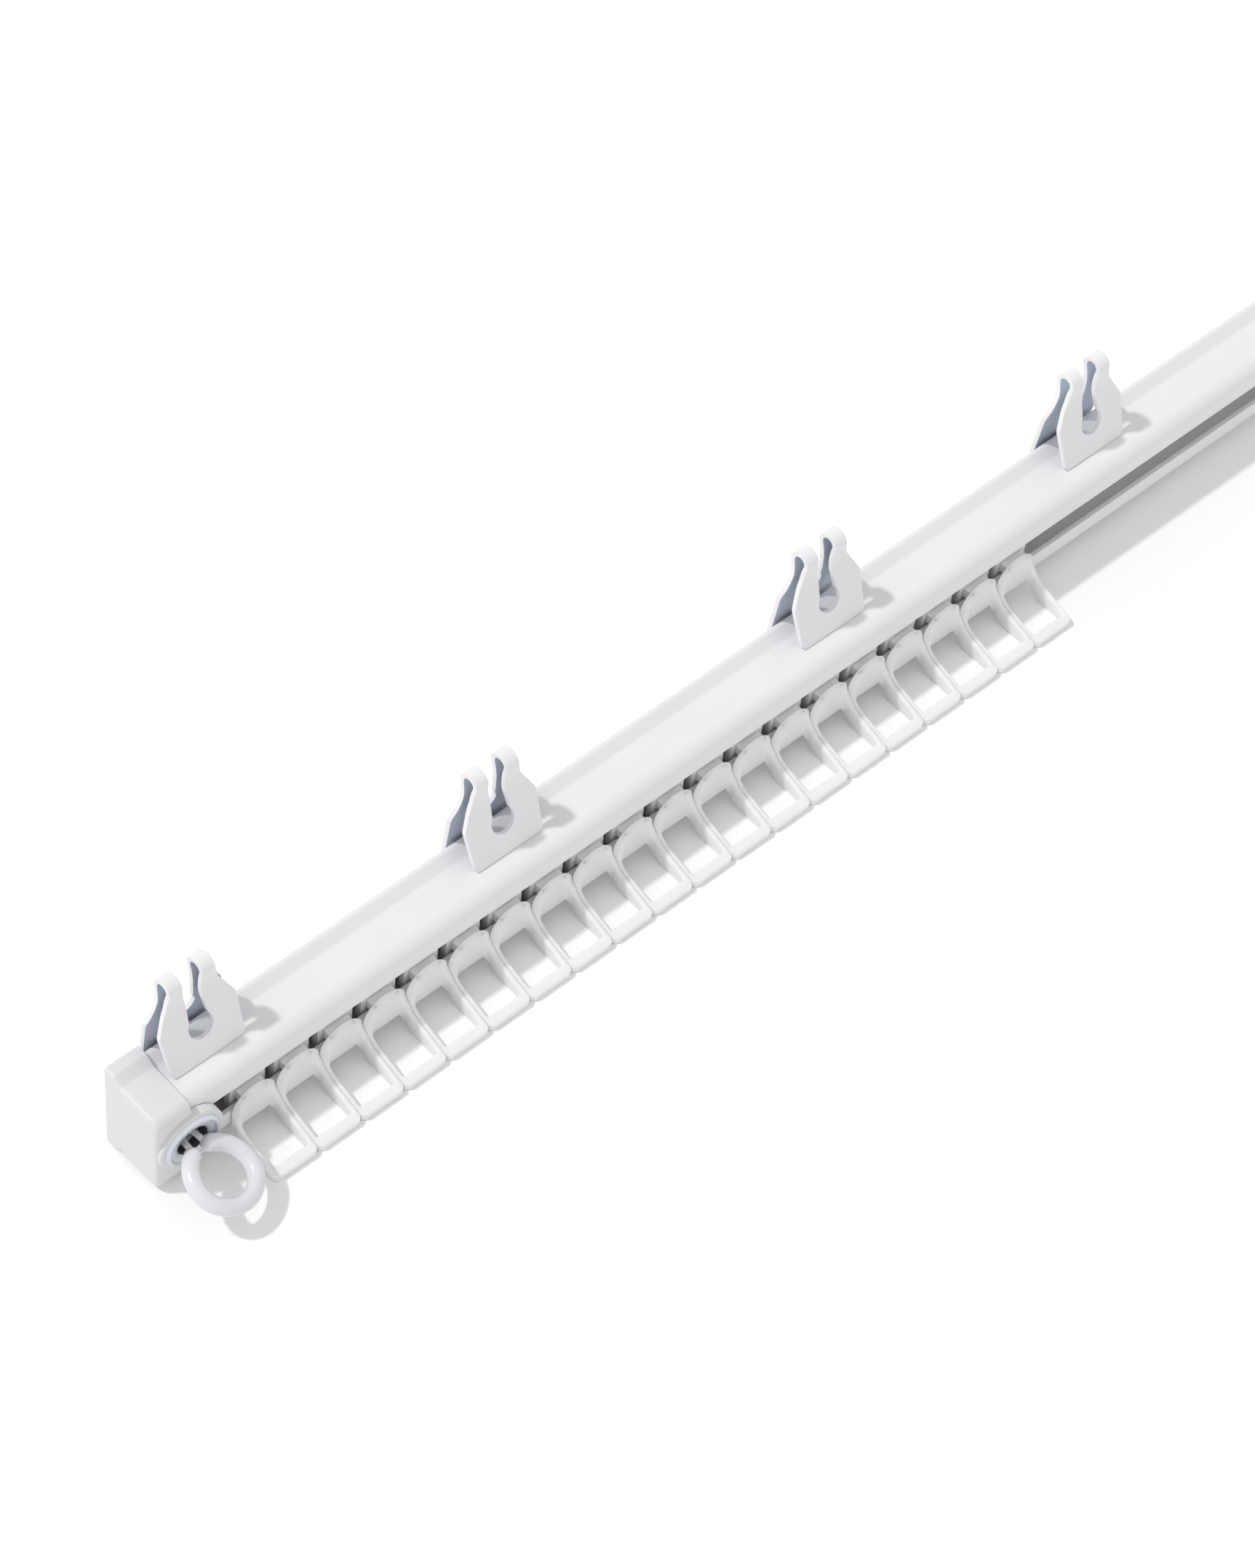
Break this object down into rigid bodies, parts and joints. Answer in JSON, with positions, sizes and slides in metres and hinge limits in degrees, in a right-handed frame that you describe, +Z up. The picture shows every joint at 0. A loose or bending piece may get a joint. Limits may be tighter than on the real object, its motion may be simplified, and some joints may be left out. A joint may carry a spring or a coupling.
{
  "type": "curtain track",
  "caption": "Slim C-section curtain track with end caps, swivelling ring eyes, sprung keyhole clips and sliding loop gliders.",
  "frame": {"origin": "on the table, under the middle of the whole object", "axes": "+X along the rail from the glider end to the far end, +Y to the rail's flat back, +Z up off the table; the slot faces -Y"},
  "size_m": [1.0024, 0.0256, 0.0331],
  "materials": {
    "rail_paint": "satin white paint",
    "cap_plastic": "moulded, soft satin",
    "grommet_metal": "rolled bright metal",
    "eye_coat": "glossy white coating on wire",
    "clip_paint": "satin pale grey paint on spring sheet",
    "glider_plastic": "milky, softly glossy"
  },
  "bodies": {
    "track": {"rail": "rail_paint", "end_cap_left": "cap_plastic", "grommet_left": "grommet_metal", "end_cap_right": "cap_plastic", "grommet_right": "grommet_metal"},
    "left_eye": {"eye_left": "eye_coat"},
    "right_eye": {"eye_right": "eye_coat"},
    "clip_body_1": {"clip_1": "clip_paint"},
    "clip_body_2": {"clip_2": "clip_paint"},
    "clip_body_3": {"clip_3": "clip_paint"},
    "clip_body_4": {"clip_4": "clip_paint"},
    "glider_body_01": {"glider_01": "glider_plastic"},
    "glider_body_02": {"glider_02": "glider_plastic"},
    "glider_body_03": {"glider_03": "glider_plastic"},
    "glider_body_04": {"glider_04": "glider_plastic"},
    "glider_body_05": {"glider_05": "glider_plastic"},
    "glider_body_06": {"glider_06": "glider_plastic"},
    "glider_body_07": {"glider_07": "glider_plastic"},
    "glider_body_08": {"glider_08": "glider_plastic"},
    "glider_body_09": {"glider_09": "glider_plastic"},
    "glider_body_10": {"glider_10": "glider_plastic"},
    "glider_body_11": {"glider_11": "glider_plastic"},
    "glider_body_12": {"glider_12": "glider_plastic"},
    "glider_body_13": {"glider_13": "glider_plastic"},
    "glider_body_14": {"glider_14": "glider_plastic"},
    "glider_body_15": {"glider_15": "glider_plastic"},
    "glider_body_16": {"glider_16": "glider_plastic"},
    "glider_body_17": {"glider_17": "glider_plastic"},
    "glider_body_18": {"glider_18": "glider_plastic"},
    "glider_body_19": {"glider_19": "glider_plastic"},
    "glider_body_20": {"glider_20": "glider_plastic"}
  },
  "joints": [
    {"name": "left_eye_swivel", "type": "hinge", "parent": "track", "child": "left_eye", "pos_m": [-0.4953, -0.00123, 0.00955], "axis": [0, -1, 0], "continuous": true},
    {"name": "right_eye_swivel", "type": "hinge", "parent": "track", "child": "right_eye", "pos_m": [0.4953, -0.00123, 0.00955], "axis": [0, -1, 0], "continuous": true},
    {"name": "clip_1_slide", "type": "slide", "parent": "track", "child": "clip_body_1", "axis": [1, 0, 0], "range_m": [0, 0.198]},
    {"name": "clip_2_slide", "type": "slide", "parent": "clip_body_1", "child": "clip_body_2", "axis": [1, 0, 0], "range_m": [-0.041, 0.198]},
    {"name": "clip_3_slide", "type": "slide", "parent": "clip_body_2", "child": "clip_body_3", "axis": [1, 0, 0], "range_m": [-0.05, 0.198]},
    {"name": "clip_4_slide", "type": "slide", "parent": "clip_body_3", "child": "clip_body_4", "axis": [1, 0, 0], "range_m": [-0.042, 0.198]},
    {"name": "glider_01_slide", "type": "slide", "parent": "track", "child": "glider_body_01", "axis": [1, 0, 0], "range_m": [0, 0.0405]},
    {"name": "glider_02_slide", "type": "slide", "parent": "glider_body_01", "child": "glider_body_02", "axis": [1, 0, 0], "range_m": [0, 0.0405]},
    {"name": "glider_03_slide", "type": "slide", "parent": "glider_body_02", "child": "glider_body_03", "axis": [1, 0, 0], "range_m": [0, 0.0405]},
    {"name": "glider_04_slide", "type": "slide", "parent": "glider_body_03", "child": "glider_body_04", "axis": [1, 0, 0], "range_m": [0, 0.0405]},
    {"name": "glider_05_slide", "type": "slide", "parent": "glider_body_04", "child": "glider_body_05", "axis": [1, 0, 0], "range_m": [0, 0.0405]},
    {"name": "glider_06_slide", "type": "slide", "parent": "glider_body_05", "child": "glider_body_06", "axis": [1, 0, 0], "range_m": [0, 0.0405]},
    {"name": "glider_07_slide", "type": "slide", "parent": "glider_body_06", "child": "glider_body_07", "axis": [1, 0, 0], "range_m": [0, 0.0405]},
    {"name": "glider_08_slide", "type": "slide", "parent": "glider_body_07", "child": "glider_body_08", "axis": [1, 0, 0], "range_m": [0, 0.0405]},
    {"name": "glider_09_slide", "type": "slide", "parent": "glider_body_08", "child": "glider_body_09", "axis": [1, 0, 0], "range_m": [0, 0.0405]},
    {"name": "glider_10_slide", "type": "slide", "parent": "glider_body_09", "child": "glider_body_10", "axis": [1, 0, 0], "range_m": [0, 0.0405]},
    {"name": "glider_11_slide", "type": "slide", "parent": "glider_body_10", "child": "glider_body_11", "axis": [1, 0, 0], "range_m": [0, 0.0405]},
    {"name": "glider_12_slide", "type": "slide", "parent": "glider_body_11", "child": "glider_body_12", "axis": [1, 0, 0], "range_m": [0, 0.0405]},
    {"name": "glider_13_slide", "type": "slide", "parent": "glider_body_12", "child": "glider_body_13", "axis": [1, 0, 0], "range_m": [0, 0.0405]},
    {"name": "glider_14_slide", "type": "slide", "parent": "glider_body_13", "child": "glider_body_14", "axis": [1, 0, 0], "range_m": [0, 0.0405]},
    {"name": "glider_15_slide", "type": "slide", "parent": "glider_body_14", "child": "glider_body_15", "axis": [1, 0, 0], "range_m": [0, 0.0405]},
    {"name": "glider_16_slide", "type": "slide", "parent": "glider_body_15", "child": "glider_body_16", "axis": [1, 0, 0], "range_m": [0, 0.0405]},
    {"name": "glider_17_slide", "type": "slide", "parent": "glider_body_16", "child": "glider_body_17", "axis": [1, 0, 0], "range_m": [0, 0.0405]},
    {"name": "glider_18_slide", "type": "slide", "parent": "glider_body_17", "child": "glider_body_18", "axis": [1, 0, 0], "range_m": [0, 0.0405]},
    {"name": "glider_19_slide", "type": "slide", "parent": "glider_body_18", "child": "glider_body_19", "axis": [1, 0, 0], "range_m": [0, 0.0405]},
    {"name": "glider_20_slide", "type": "slide", "parent": "glider_body_19", "child": "glider_body_20", "axis": [1, 0, 0], "range_m": [0, 0.0405]}
  ]
}
